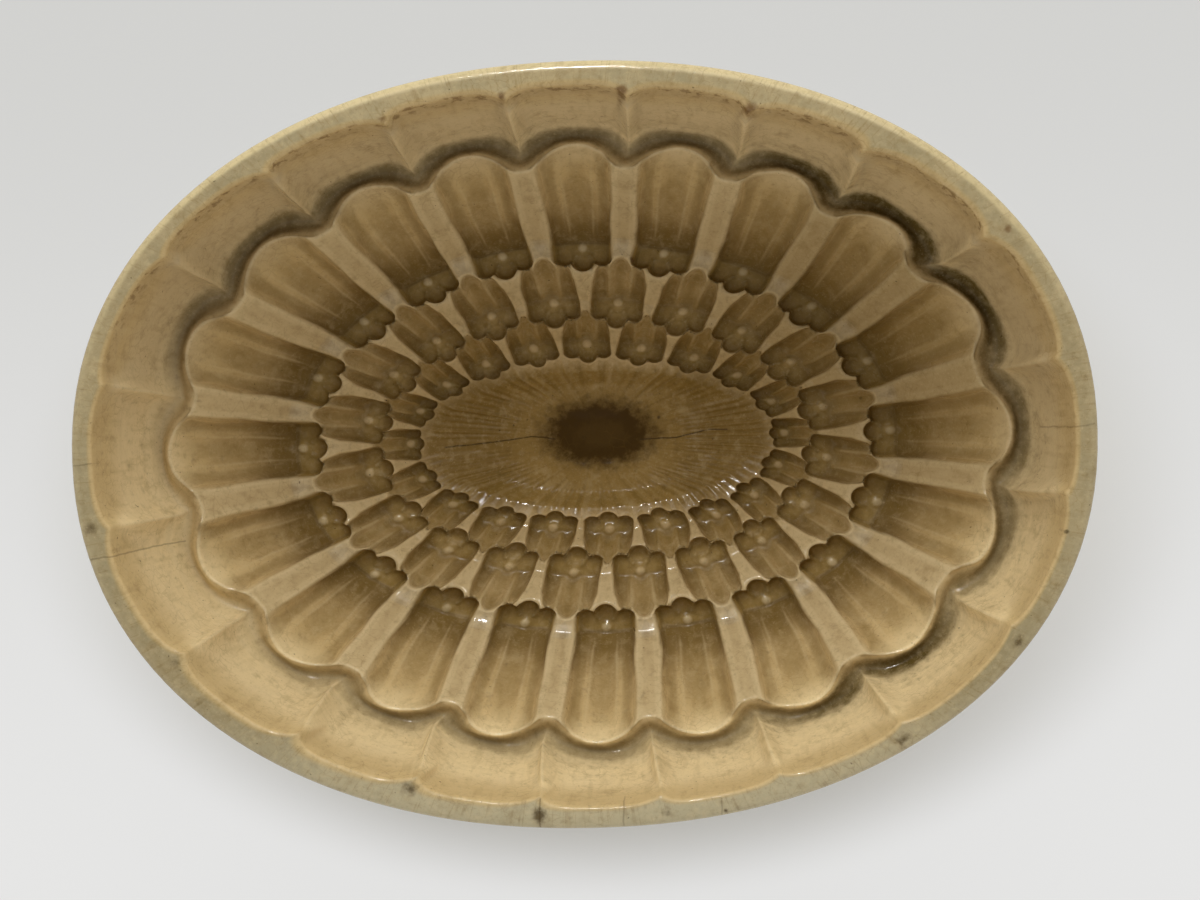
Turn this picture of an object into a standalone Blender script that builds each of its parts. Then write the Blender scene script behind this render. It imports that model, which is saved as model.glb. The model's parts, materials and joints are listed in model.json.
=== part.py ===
# An oval jelly mould of cream glazed earthenware, fired in one piece.
# It stands on its foot with the opening up. The long axis of the oval is X, and the foot is on z = 0.
import bpy
import numpy as np

# The rim and the whole body
rim_length = 0.200
rim_width = 0.1494
oval_power = 2.13
column_count = 20
column_spacing_ratio = 0.651

# The collar of shallow panels under the rim. Offsets run inward from the outline of the rim.
rim_band_at_panel = 0.0050
rim_band_at_rib = 0.0070
rim_inner_slope = 0.60
rim_edge_depth = 0.0010
panel_foot_at_middle = 0.0078
panel_foot_at_rib = 0.0112
panel_foot_depth = 0.0245
panel_foot_curve_height = 0.0040
panel_foot_curve_reach = 0.0006
channel_depth = 0.0280

# The ridge at the mouth of the first row of columns
ridge_depth = 0.0266
ridge_tip_offset = 0.0115
ridge_valley_offset = 0.0165
column_half_width_at_ridge = 0.0082

# The three rows of columns: offset of the flower's centre, depth of its floor, half width of the column
row_one_offset = 0.0309
row_one_depth = 0.0595
row_one_half_width = 0.0066
row_two_offset = 0.0436
row_two_depth = 0.0665
row_two_half_width = 0.0057
row_three_offset = 0.0535
row_three_depth = 0.0712
row_three_half_width = 0.0050

# Each column has three flutes above its floor. Arrises part them.
flute_depth = 0.0010
arris_share = 0.41
web_edge_share = 1.09
foot_bulge = 0.0006
# A column is never wider than this share of the space it has.
widest_share = 0.86

# Half a flower, from the middle of the column to the middle of the web beside it: the middle petal,
# the cusp, the side petal, the edge of the column, the edge of the web and the middle of the web.
# Shares are of the half width of the column. Reaches run inward from the flower's centre.
flower_across = [0.0, 0.32, 0.60, 0.98, web_edge_share]
foot_reach = -0.16
floor_reach = 0.20
petal_reach = [0.66, 0.56, 0.33, 0.30, 0.34, 0.36]
crest_reach = [1.06, 0.80, 0.72, 0.46, 0.49, 0.52]
cusp_height = 0.0020

# The webs and crests between the columns: offset and depth pairs
crest_offsets = [0.0165, 0.0300, 0.0340, 0.0380, 0.0435, 0.0465, 0.0500, 0.0535, 0.0600]
crest_depths = [0.0266, 0.0520, 0.0538, 0.0560, 0.0613, 0.0622, 0.0638, 0.0676, 0.0692]

# The inner rows lie on rounder ovals than the rim: shorter and wider by this much, from one offset to another.
row_roundness = 0.0016
roundness_start = 0.0200
roundness_end = 0.0450

# The shallow bowl in the middle, and the oval hollow in it
bowl_edge_offset = 0.0600
bowl_rounding = 0.80
bowl_floor_offset = 0.0700
bowl_depth = 0.0730
hollow_length = 0.0256
hollow_edge_drop = 0.0006
hollow_drop = 0.0026

# The outside, which the photograph doesn't show: offset and depth pairs from the lip down the collar,
# then offset and height pairs from the wall down to the foot
collar_offsets = [0.0012, 0.0003, 0.0, 0.0, 0.0012, 0.0030, 0.0066]
collar_depths = [0.0, 0.0007, 0.0018, 0.0105, 0.0125, 0.0270, 0.0345]
wall_offsets = [0.0200, 0.0262, 0.0298, 0.0306]
wall_heights = [0.0250, 0.0140, 0.0012, 0.0]
floor_thickness = 0.0054
foot_ring_width = 0.0060
foot_recess_height = 0.0030
foot_recess_slope = 0.40

# Fineness of the outside, and how far the cutters stand past the faces that they cut
outside_steps = 80
cutter_reach = 0.0030

half_length = rim_length / 2
half_width = rim_width / 2
hollow_depth = bowl_depth + hollow_drop
cavity_depth = max(row_one_depth, row_two_depth, row_three_depth, hollow_depth)
mould_height = cavity_depth + floor_thickness + foot_recess_height
flute_across = [0.0, arris_share, (1.0 + arris_share) / 2.0, 1.0, web_edge_share]


def signed_power(value, exponent):
    return np.sign(value) * np.abs(value) ** exponent


def angle_table():
    # Angles that divide an oval of the chosen ratio into equal lengths, one step for each column.
    angle = np.linspace(0.0, 2.0 * np.pi, 5761)
    along_x = signed_power(np.cos(angle), 2.0 / oval_power)
    along_y = column_spacing_ratio * signed_power(np.sin(angle), 2.0 / oval_power)
    length = np.concatenate([[0.0], np.cumsum(np.hypot(np.diff(along_x), np.diff(along_y)))])
    return length / length[-1] * column_count, angle


table_steps, table_angles = angle_table()


def semi_axes(offset):
    # Ovals keep one distance from each other down to the edge of the bowl, then shrink to a point.
    rounder = row_roundness * np.interp(offset, [roundness_start, roundness_end], [0.0, 1.0])
    share = np.clip((half_length - offset) / (half_length - bowl_edge_offset), 0.0, 1.0)
    long_axis = half_length - offset - rounder * share
    edge_short = half_width - bowl_edge_offset + row_roundness
    short_axis = half_width - offset + rounder
    short_axis = np.where(offset < bowl_edge_offset, short_axis, edge_short * share ** bowl_rounding)
    return long_axis, short_axis


def oval_point(step, offset):
    # The point of an oval at a position counted in columns from the +X end, anticlockwise.
    angle = np.interp(np.mod(step, column_count), table_steps, table_angles)
    long_axis, short_axis = semi_axes(offset)
    x = long_axis * signed_power(np.cos(angle), 2.0 / oval_power)
    y = short_axis * signed_power(np.sin(angle), 2.0 / oval_power)
    return x, y


def column_room(middle, offset):
    # The distance along an oval that belongs to the column in this place.
    before_x, before_y = oval_point(middle - 0.5, offset)
    after_x, after_y = oval_point(middle + 0.5, offset)
    return np.hypot(after_x - before_x, after_y - before_y)


def flute_outline(share):
    # Depth of the three flutes across a column, 1 at their middles and 0 at the arrises and the edges.
    share = np.clip(np.abs(share), 0.0, 1.0)
    side_half = (1.0 - arris_share) / 2.0
    centre = 1.0 - (share / arris_share) ** 2
    side = 1.0 - ((share - arris_share - side_half) / side_half) ** 2
    return np.where(share < arris_share, centre, side)


def column_setback(share, bulge):
    # How far the wall of a column stands inward of the wall at its middle.
    round_part = bulge * np.sin(np.clip(share, -1.0, 1.0) * np.pi / 2.0) ** 2
    return round_part + flute_depth * (1.0 - flute_outline(share))


def crest_height(offset):
    return -np.interp(offset, crest_offsets, crest_depths)


def panel_curve(step, at_middle, at_rib):
    # A shallow concave panel between two pointed ribs.
    from_middle = step - np.round(step)
    return at_middle + (at_rib - at_middle) * (2.0 * from_middle) ** 2


def ridge_line(step):
    # The ridge swings outward at the middle of each column and inward at each web.
    swing = ridge_valley_offset - ridge_tip_offset
    return ridge_tip_offset + swing * np.sin(np.pi * (step - np.round(step))) ** 2


def row_points(steps, offsets, heights):
    x, y = oval_point(steps, offsets)
    return [(float(x[i]), float(y[i]), mould_height + float(heights[i])) for i in range(len(x))]


def level_ring(steps, offset, height):
    return row_points(steps, np.full(len(steps), offset), np.full(len(steps), height))


def column_row(phase, half, offset, across, reaches, heights):
    # One row of points that crosses every column. Reaches and heights are given for half a column,
    # from its middle to the middle of the web, and mirrored for the other half.
    steps = []
    offsets = []
    levels = []
    for column in range(column_count):
        middle = column + phase
        room = float(column_room(middle, offset))
        width = min(half, widest_share * room / 2.0)
        marks = [share * width / room for share in across] + [0.5]
        for index in (4, 3, 2, 1, 0, 1, 2, 3, 4, 5):
            side = -1.0 if len(steps) % 10 < 4 else 1.0
            steps.append(middle + side * marks[index])
            offsets.append(offset + reaches[index] * width)
            levels.append(heights[index])
    turn = 5 if phase else 0
    return np.roll(steps, turn), np.roll(offsets, turn), np.roll(levels, turn)


def flower_rings(phase, half, offset, depth):
    # Four rows for one row of columns: the foot of the flutes, the floor, the petals and the crest.
    rings = []
    foot = [foot_reach + column_setback(share, foot_bulge) / half for share in flute_across[:4]]
    foot.extend([foot_reach, foot_reach])
    level = [-depth] * 4 + [None, None]
    rows = [(flute_across, foot, level)]
    rows.append((flower_across, [floor_reach] * 6, level))
    rows.append((flower_across, petal_reach, [-depth, cusp_height - depth, -depth, None, None, None]))
    rows.append((flower_across, crest_reach, [None] * 6))
    for across, reaches, heights in rows:
        marks = [0.0 if height is None else height for height in heights]
        steps, offsets, levels = column_row(phase, half, offset, across, reaches, marks)
        levels = np.where(levels == 0.0, crest_height(offsets), levels)
        rings.append(row_points(steps, offsets, levels))
    return rings


def cavity_rings():
    even = np.arange(10 * column_count) / 10.0 - 0.4
    flat = np.ones(len(even))
    rim_line = panel_curve(even, rim_band_at_panel, rim_band_at_rib)
    foot_line = panel_curve(even, panel_foot_at_middle, panel_foot_at_rib)
    rings = []
    for height in (cutter_reach, -rim_edge_depth):
        rings.append(row_points(even, rim_line - rim_inner_slope * height, height * flat))
    curve_top = panel_foot_curve_height - panel_foot_depth
    rings.append(row_points(even, foot_line - panel_foot_curve_reach, curve_top * flat))
    mouth, mouth_line, levels = column_row(0.0, column_half_width_at_ridge, ridge_tip_offset, flute_across,
                                           [0.0] * 6, [-ridge_depth] * 6)
    mouth_line = ridge_line(mouth)
    foot_line = panel_curve(mouth, panel_foot_at_middle, panel_foot_at_rib)
    rings.append(row_points(mouth, foot_line, -panel_foot_depth * flat))
    rings.append(row_points(mouth, 0.5 * (foot_line + mouth_line), -channel_depth * flat))
    rings.append(row_points(mouth, mouth_line, levels))
    rings.extend(flower_rings(0.0, row_one_half_width, row_one_offset, row_one_depth))
    rings.extend(flower_rings(0.5, row_two_half_width, row_two_offset, row_two_depth))
    rings.extend(flower_rings(0.0, row_three_half_width, row_three_offset, row_three_depth))
    rings.append(level_ring(even, bowl_edge_offset, -crest_depths[-1]))
    rings.append(level_ring(even, bowl_floor_offset, -bowl_depth))
    rings.append(level_ring(even, half_length - hollow_length / 2, -bowl_depth - hollow_edge_drop))
    return rings


def outside_rings():
    steps = np.arange(outside_steps) * column_count / outside_steps
    rings = [level_ring(steps, offset, -depth) for offset, depth in zip(collar_offsets, collar_depths)]
    walls = zip(wall_offsets, wall_heights)
    rings.extend(level_ring(steps, offset, height - mould_height) for offset, height in walls)
    return rings


def recess_rings():
    steps = np.arange(outside_steps) * column_count / outside_steps
    inner = wall_offsets[-1] + foot_ring_width
    levels = (foot_recess_height, -cutter_reach)
    return [level_ring(steps, inner + foot_recess_slope * level, level - mould_height) for level in levels]


def loft(name, rings, collection, bottom_point):
    # Joins rings of one count from the top down, and closes both ends.
    count = len(rings[0])
    vertices = [vertex for ring in rings for vertex in ring]
    faces = [tuple(range(count))]
    for row in range(len(rings) - 1):
        for index in range(count):
            following = (index + 1) % count
            faces.append((row * count + following, row * count + index,
                          (row + 1) * count + index, (row + 1) * count + following))
    last = (len(rings) - 1) * count
    if bottom_point is None:
        faces.append(tuple(last + index for index in reversed(range(count))))
    else:
        vertices.append(bottom_point)
        for index in range(count):
            faces.append((last + (index + 1) % count, last + index, len(vertices) - 1))
    mesh = bpy.data.meshes.new(name)
    mesh.from_pydata(vertices, [], faces)
    mesh.update()
    made = bpy.data.objects.new(name, mesh)
    collection.objects.link(made)
    return made


def cut(body, cutter):
    cutter.hide_render = True
    cutter.display_type = "WIRE"
    modifier = body.modifiers.new("cut", "BOOLEAN")
    modifier.operation = "DIFFERENCE"
    modifier.solver = "EXACT"
    modifier.object = cutter


def glaze_material():
    material = bpy.data.materials.new("cream_glaze")
    material.use_nodes = True
    shader = material.node_tree.nodes["Principled BSDF"]
    shader.inputs["Base Color"].default_value = (0.62, 0.50, 0.30, 1.0)
    shader.inputs["Roughness"].default_value = 0.22
    return material


def add_collection(name):
    collection = bpy.data.collections.new(name)
    bpy.context.scene.collection.children.link(collection)
    return collection


for old in list(bpy.data.objects):
    bpy.data.objects.remove(old, do_unlink=True)

mould_collection = add_collection("jelly_mould")
cutter_collection = add_collection("cutters")

mould_body = loft("mould_body", outside_rings(), mould_collection, None)
cavity = loft("cavity_cutter", cavity_rings(), cutter_collection, (0.0, 0.0, mould_height - hollow_depth))
recess = loft("foot_recess_cutter", recess_rings(), cutter_collection, None)
cut(mould_body, cavity)
cut(mould_body, recess)
mould_body.data.materials.append(glaze_material())
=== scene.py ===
# An oval jelly mould of cream glazed earthenware, seen from above with its opening up
import json
import math
from types import SimpleNamespace
import bpy
import numpy as np
from mathutils import Euler, Matrix, Vector

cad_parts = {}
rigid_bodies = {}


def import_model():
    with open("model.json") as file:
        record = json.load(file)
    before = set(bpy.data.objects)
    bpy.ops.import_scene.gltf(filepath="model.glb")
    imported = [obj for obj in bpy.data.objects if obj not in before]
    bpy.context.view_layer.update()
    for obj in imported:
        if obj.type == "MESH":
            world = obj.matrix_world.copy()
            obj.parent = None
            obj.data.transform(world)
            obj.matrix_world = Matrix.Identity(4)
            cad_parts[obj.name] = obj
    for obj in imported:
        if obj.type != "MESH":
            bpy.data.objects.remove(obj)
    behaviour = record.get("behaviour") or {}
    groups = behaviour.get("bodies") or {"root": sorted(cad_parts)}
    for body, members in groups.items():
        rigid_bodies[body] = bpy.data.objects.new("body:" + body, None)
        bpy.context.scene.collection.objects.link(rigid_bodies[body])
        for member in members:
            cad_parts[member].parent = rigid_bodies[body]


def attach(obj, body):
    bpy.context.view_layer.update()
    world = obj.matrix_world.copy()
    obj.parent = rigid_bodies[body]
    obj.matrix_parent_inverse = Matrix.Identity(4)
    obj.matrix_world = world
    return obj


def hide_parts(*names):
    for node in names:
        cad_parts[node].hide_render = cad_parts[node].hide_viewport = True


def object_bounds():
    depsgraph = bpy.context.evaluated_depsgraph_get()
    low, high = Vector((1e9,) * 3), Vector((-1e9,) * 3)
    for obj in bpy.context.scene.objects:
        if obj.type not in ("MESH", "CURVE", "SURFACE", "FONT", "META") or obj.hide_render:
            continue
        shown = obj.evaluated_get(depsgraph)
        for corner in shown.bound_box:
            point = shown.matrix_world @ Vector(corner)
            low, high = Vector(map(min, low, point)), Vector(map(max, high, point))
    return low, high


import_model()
cadLow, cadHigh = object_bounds()
milli = 0.001
rimLong = cadHigh.x / milli  # half the length of the rim, in millimetres like every size of the mould
rimShort = cadHigh.y / milli  # half its width
rimTop = cadHigh.z / milli  # height of the rim above the foot
print("frame loaded, half axes", round(rimLong, 2), round(rimShort, 2), "height", round(rimTop, 2))

# The pressed pattern. Offsets run inward from the outline of the rim, depths down from the rim.
mould = {
    "ovalPower": 2.13,
    "columnCount": 20,
    "spacingRatio": 0.651,
    "roundness": 1.6,  # the inner rows lie on rounder ovals than the rim
    "roundFrom": 20.0,
    "roundTo": 45.0,
    "bowlEdge": 60.0,
    "bowlRounding": 0.80,
    "rimLine": (5.0, 6.8),  # inner edge of the flat band, at the middle of a panel and at a rib
    "rimRound": 0.9,
    "panelFoot": (7.8, 11.4),
    "panelFootDepth": 24.6,
    "panelCorner": 4.5,  # how square the panels are between their ribs
    "ribBulge": 1.2,  # how far the ribs stand out half way down the wall
    "ribWidth": 0.125,
    "channelDepth": 28.7,
    # rings across the channel from the wall to the ridge: share of its width, share of its depth, and how
    # much painted shade, partly pooled glaze, darkens it
    "channelFall": ((0.06, 0.12, 0.5), (0.12, 0.40, 0.8), (0.20, 0.72, 1.0), (0.32, 0.95, 1.0),
                    (0.44, 1.0, 1.0)),
    "channelRise": ((0.56, 0.88, 1.0), (0.66, 0.60, 0.95), (0.76, 0.30, 0.85), (0.86, 0.10, 0.6),
                    (0.95, 0.02, 0.2)),
    "ridgeTip": 11.5,
    "ridgeValley": 16.5,
    "ridgeDepth": 26.6,
    "arris": 0.41,
    "arrisRound": (0.06, 0.22),  # flat top and rounding of the arrises, as shares of a flute's depth
    "widestShare": 0.86,
    "ridgePower": 2.2,
    "sideSlope": 10.0,
    "sideEase": (0.15, 0.45),  # levels between which the columns' sides become half as steep
    # slow waves of those sides: size, and turns by offset and by column
    "wobbles": ((0.07, 0.5, 2.4), (0.05, 0.9, -4.1)),
    "fluteFade": (0.16, 0.78),  # the flutes fade in below and out above these levels
    "pastTip": 4.0,  # how fast a column's wall goes on rising past its tip
    "ground": (0.1, 0.24, 3.0),  # round the flowers: height over their foot, start of its rise, slope
    "petal": (0.9, 1.4, 12.0, 0.6),  # depth below the foot, dish, slope of the lip, rounding between petals
    "footReach": 0.16,
    "crestMargin": 0.09,
    "webReach": 0.42,
    "edgeRound": (0.5, 1.3),  # rounding of the columns' edges, round the petals and along the walls
    "edgeFade": 3.5,  # how far before the petals the first begins to take over from the second
    "beadHeight": 0.8,
    "beadRadius": 1.2,
    "reedHeight": 0.12,
    "reedsPerColumn": 4,
    "reedSpan": (55.5, 58.5, 66.0, 84.0),  # offsets where the reeds fade in and out
    "webLine": 0.3,
    "lineSpan": (54.0, 56.0, 60.0, 84.0),
    "lineWidth": 1.5,
    "streakSpan": (52.0, 55.0, 60.0, 74.0),
    "streakReeds": ((0.34, 14.9, 0.05, 0.0), (0.30, 23.3, 0.0, 2.0), (0.26, 9.1, 0.0, 0.0)),
    # slow waves of the glaze: size, turns along x and y, and start
    "waves": ((0.10, 0.21, 0.13, 0.0), (0.08, -0.11, 0.17, 2.0)),
    "ripple": 0.07,
    "hollowSpan": (83.2, 94.2),  # the middle of the bowl dips between these offsets
    "hollowDepth": 0.9,
    "poolRadii": (0.7, 2.2),  # how far round a point the narrow and the wide pools look
}

# The three rows of columns, from the ridge to the bowl. half and tipHalf are half widths at the foot and the
# tip, and lag is how far the corners of a tip lie behind its middle. fluteAtTip is the share of the flutes
# left there, dark and inner weigh the row's marks. Rings of the mesh are counted for the wall, the floor and
# the petals, and petals are in half widths: across, inward, radius.
columnRows = (
    {"phase": 0.0, "offset": 30.9, "depth": 59.5, "half": 6.7, "tip": 11.5, "step": 0.0, "tipHalf": 9.2,
     "crease": 0.7, "lag": 5.0, "lagPower": 2.2, "archLag": 0.0, "footBulge": 1.3, "lean": 0.8,
     "flute": 1.7, "fluteAtTip": 0.0, "dark": 1.0, "inner": 1.0, "rings": (16, 5, 12),
     "petals": ((0.0, 0.54, 0.31), (0.61, 0.27, 0.35), (-0.61, 0.27, 0.35))},
    {"phase": 0.5, "offset": 43.6, "depth": 66.5, "half": 5.85, "tip": 33.9, "step": 1.2, "tipHalf": 6.4,
     "crease": 0.8, "lag": 3.2, "lagPower": 2.6, "archLag": 2.1, "footBulge": 0.6, "lean": 0.4,
     "flute": 1.1, "fluteAtTip": 0.5, "dark": 0.3, "inner": 0.1, "rings": (11, 5, 10),
     "petals": ((0.0, 0.68, 0.35), (0.65, 0.36, 0.35), (-0.65, 0.36, 0.35))},
    {"phase": 0.0, "offset": 53.5, "depth": 71.2, "half": 5.2, "tip": 46.4, "step": 1.1, "tipHalf": 5.6,
     "crease": 0.8, "lag": 2.8, "lagPower": 2.6, "archLag": 1.7, "footBulge": 0.5, "lean": 0.3,
     "flute": 0.9, "fluteAtTip": 0.5, "dark": 0.25, "inner": 0.1, "rings": (8, 5, 9),
     "petals": ((0.0, 0.53, 0.34), (0.65, 0.28, 0.35), (-0.65, 0.28, 0.35))},
)

# Webs and crests between the columns: offset and depth pairs
crestOffsets = (0.0, 16.5, 29.2, 29.7, 32.6, 33.4, 34.6, 38.0, 43.0, 43.4,
                45.6, 46.2, 47.2, 50.0, 53.5, 57.6, 60.0, 70.0, 100.0)
crestDepths = (-4.4, 26.6, 51.0, 52.3, 53.6, 53.2, 53.8, 56.0, 60.6, 61.4,
               62.0, 61.7, 62.3, 63.8, 67.3, 68.6, 69.4, 73.0, 73.6)

# The mould was pressed by hand, so its pattern wanders: a first step and one value for each column, slips
# round the oval in columns and shifts inward in millimetres
wander = {
    "ribSlip": (0.5, (0.0, 0.0, 0.15, 0.05, 0.0, -0.05, -0.1, -0.1, -0.1, -0.05,
                      -0.05, 0.05, 0.15, 0.15, 0.15, 0.1, 0.0, 0.0, 0.1, 0.1)),
    "ridgeSlip": (0.0, (0.0, 0.1, 0.1, 0.05, 0.05, 0.0, 0.0, -0.05, 0.0, 0.05,
                        -0.05, -0.05, 0.05, 0.15, 0.1, 0.05, 0.0, -0.05, 0.05, 0.15)),
    "rowSlip": (0.0, (0.0, -0.06, -0.06, -0.06, 0.0, 0.04, 0.08, 0.1, 0.08, 0.04,
                      -0.02, -0.02, -0.06, -0.02, 0.02, 0.1, 0.16, 0.18, 0.12, 0.08)),
    "collarShift": (0.0, (-0.8, 0.5, 0.8, 1.0, 0.6, 0.4, 0.4, 0.3, -0.7, -1.2,
                          -0.8, 0.6, 1.4, 1.6, 0.7, -0.4, -0.6, -0.7, -1.5, -1.0)),
    "rowShift": (0.0, (-0.2, 0.5, 1.3, 1.0, 0.9, -0.2, -0.4, 0.3, 0.5, 0.4,
                       0.3, 0.1, 0.2, 0.6, 1.4, 1.0, 0.6, -0.9, -1.3, -0.5)),
    # how much of each list a ring takes, against its offset
    "slips": (("ribSlip", ((3.5, 0.0), (6.9, 1.0), (11.2, 0.3), (14.5, 0.0))),
              ("ridgeSlip", ((11.2, 0.0), (14.5, 1.0), (30.9, 0.0))),
              ("rowSlip", ((14.5, 0.0), (30.9, 1.0), (43.6, 1.4), (53.5, 2.4), (66.0, 2.2), (98.0, 2.0)))),
    "shifts": (("collarShift", ((3.5, 0.0), (6.9, 1.0), (11.2, 0.75), (14.5, 0.85), (30.9, 0.0))),
               ("rowShift", ((14.5, 0.0), (30.9, 1.0), (43.6, 0.9), (53.5, 1.0), (66.0, 0.0)))),
}

# Fineness of the mesh. The columns of the grid crowd at the arrises and edges of the columns.
cellSteps = 32
insideSteps = cellSteps * mould["columnCount"]
outsideSteps = insideSteps // 4
evenSteps = np.arange(insideSteps) / cellSteps


def addObject(name, data):
    made = bpy.data.objects.new(name, data)
    bpy.context.scene.collection.objects.link(made)
    return made


def signedPower(value, exponent):
    return np.sign(value) * np.abs(value) ** exponent


def smoothed(values, kernel, **ends):
    # The mean of the values weighed by the kernel round each of them
    padded = np.pad(values, len(kernel) // 2, **ends)
    return np.convolve(padded, kernel / kernel.sum(), mode="valid")


def angleTable():
    # Angles that divide an oval of the chosen ratio into equal lengths, one step for each column
    angle = np.linspace(0.0, 2.0 * np.pi, 5761)
    alongX = signedPower(np.cos(angle), 2.0 / mould["ovalPower"])
    alongY = mould["spacingRatio"] * signedPower(np.sin(angle), 2.0 / mould["ovalPower"])
    length = np.concatenate([[0.0], np.cumsum(np.hypot(np.diff(alongX), np.diff(alongY)))])
    return length / length[-1] * mould["columnCount"], angle


tableSteps, tableAngles = angleTable()


def semiAxes(offset):
    # Long and short half axes of the oval at an offset. Inside the bowl's edge they shrink to a point.
    rounder = mould["roundness"] * np.interp(offset, [mould["roundFrom"], mould["roundTo"]], [0.0, 1.0])
    share = np.clip((rimLong - offset) / (rimLong - mould["bowlEdge"]), 0.0, 1.0)
    edgeShort = rimShort - mould["bowlEdge"] + mould["roundness"]
    shortAxis = np.where(offset < mould["bowlEdge"], rimShort - offset + rounder,
                         edgeShort * share ** mould["bowlRounding"])
    return rimLong - offset - rounder * share, shortAxis


def ovalPoint(step, offset):
    # x = long axis * cos(angle) ** (2 / power), y = short axis * sin(angle) ** (2 / power), with signs kept
    angle = np.interp(np.mod(step, mould["columnCount"]), tableSteps, tableAngles)
    longAxis, shortAxis = semiAxes(offset)
    x = longAxis * signedPower(np.cos(angle), 2.0 / mould["ovalPower"])
    y = shortAxis * signedPower(np.sin(angle), 2.0 / mould["ovalPower"])
    return x, y


def roundTable(firstStep, values):
    # The values spread evenly round the oval from the first step, joined by lines and smoothed by a Hann
    # window of 1.2 columns, at the steps of the inside's points
    places = firstStep + np.arange(len(values))
    fine = np.interp(evenSteps, places, values, period=mould["columnCount"])
    return smoothed(fine, np.hanning(39), mode="wrap")


def wanderAt(kind, step, offset):
    # The sum of the lists of one kind, each weighed by its share at the offset
    total = 0.0
    for name, shares in wander[kind]:
        values = np.interp(step, evenSteps, roundTable(*wander[name]), period=mould["columnCount"])
        total = total + values * np.interp(offset, *zip(*shares))
    return total


def handmadePoint(step, offset):
    # The pattern's own point, slipped along the oval and shifted inward
    return ovalPoint(step + wanderAt("slips", step, offset), offset + wanderAt("shifts", step, offset))


def columnRoom(middle, offset):
    # The distance along an oval that belongs to the column in this place
    beforeX, beforeY = ovalPoint(middle - 0.5, offset)
    afterX, afterY = ovalPoint(middle + 0.5, offset)
    return np.hypot(afterX - beforeX, afterY - beforeY)


def smoothStep(low, high, value):
    share = np.clip((value - low) / (high - low), 0.0, 1.0)
    return share * share * (3.0 - 2.0 * share)


def between(first, full, fading, last, value):
    # Rises from 0 to 1 between the first two places and falls back between the last two
    return smoothStep(first, full, value) * (1.0 - smoothStep(fading, last, value))


def smoothMin(first, second, width):
    # The lower of two heights, with the corner between them rounded over the width
    share = np.clip(0.5 + 0.5 * (second - first) / width, 0.0, 1.0)
    return second + (first - second) * share - width * share * (1.0 - share)


def smoothMax(first, second, width):
    return -smoothMin(-first, -second, width)


def columnHalf(row, middle):
    return np.minimum(row["half"], mould["widestShare"] * columnRoom(middle, row["offset"]) / 2.0)


def levelIn(row, half, offset):
    # 0 at the foot of a column's flutes, 1 at its outer tip
    start = mould["footReach"] * half
    run = row["offset"] - start - row["tip"]
    return (row["offset"] - start - offset) / run, run


def widthIn(row, half, level):
    return half * (1.0 + (row["tipHalf"] / row["half"] - 1.0) * np.clip(level, 0.0, 1.0))


def columnWobble(middle, offset):
    # The columns' sides aren't quite straight: slow sine waves, different on each column, in millimetres
    return sum(size * np.sin(byOffset * offset + byColumn * middle)
               for size, byOffset, byColumn in mould["wobbles"])


def sideLean(row, level):
    # How far a column's side leans inward from its upper edge to its foot
    return row["lean"] * np.clip(1.0 - level, 0.0, 1.0)


def nearestMiddle(row, step):
    return np.round(step - row["phase"]) + row["phase"]


def columnPlace(row, step, offset):
    # Where a point lies in its column: the column's middle and half width, how far across it, its level and
    # run, its width there and the share of that width
    middle = nearestMiddle(row, step)
    half = columnHalf(row, middle)
    across = (step - middle) * columnRoom(middle, offset) - columnWobble(middle, offset)
    level, run = levelIn(row, half, offset)
    width = widthIn(row, half, level) - sideLean(row, level)
    return middle, half, across, level, run, width, np.clip(np.abs(across / width), 0.0, 1.0)


def fluteOutline(share):
    # 1 at the middles of the three flutes and 0 at the arrises and the edges, each flute a parabola
    sideHalf = (1.0 - mould["arris"]) / 2.0
    centre = 1.0 - (share / mould["arris"]) ** 2
    side = 1.0 - ((share - mould["arris"] - sideHalf) / sideHalf) ** 2
    return smoothMax(np.where(share < mould["arris"], centre, side), *mould["arrisRound"])


def crestTable():
    # The crest depths against the offset, with their corners rounded by a Gaussian of 0.5 mm
    fine = np.arange(0.0, 100.05, 0.1)
    kernel = np.exp(-0.5 * (np.arange(-20, 21) * 0.1 / 0.5) ** 2)
    depths = np.interp(fine, crestOffsets, crestDepths)
    return fine, smoothed(depths, kernel, mode="reflect", reflect_type="odd")


tableOffsets, tableDepths = crestTable()


def tipLag(row, share):
    # How far a column's tip lies behind its middle: lag * share ** power, with an arch over each flute
    return row["lag"] * share ** row["lagPower"] + row["archLag"] * (1.0 - fluteOutline(share))


def petalDistance(petal, half, across, inward):
    # The distance from a petal's middle as a share of its radius
    petalAcross, petalInward, petalRadius = petal
    return np.hypot(across - petalAcross * half, inward - petalInward * half) / (petalRadius * half)


def columnWall(row, across, level, run, width, share):
    # climb = (distance from the foot + foot's lead) / (run - tip's lag + foot's lead), and the height is
    # rise * climb less the cut of the flutes. The tip lies a small step below the web around it.
    lead = row["footBulge"] * share ** 2 * (0.3 + 0.7 * smoothStep(0.0, 0.3, level))
    low, high = mould["fluteFade"]
    fade = smoothStep(0.0, low, level) * (1.0 - (1.0 - row["fluteAtTip"]) * smoothStep(high, 1.0, level))
    lag = tipLag(row, share)
    climb = (level * run + lead) / (run - lag + lead)
    tipDepth = np.interp(row["tip"] + lag, tableOffsets, tableDepths)
    rise = row["depth"] - np.maximum(tipDepth, mould["ridgeDepth"]) - row["step"]
    wall = rise * np.clip(climb, 0.0, 1.0) + mould["pastTip"] * run * np.maximum(climb - 1.0, 0.0)
    return wall - row["depth"] - row["flute"] * fade * fluteOutline(share)


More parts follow.
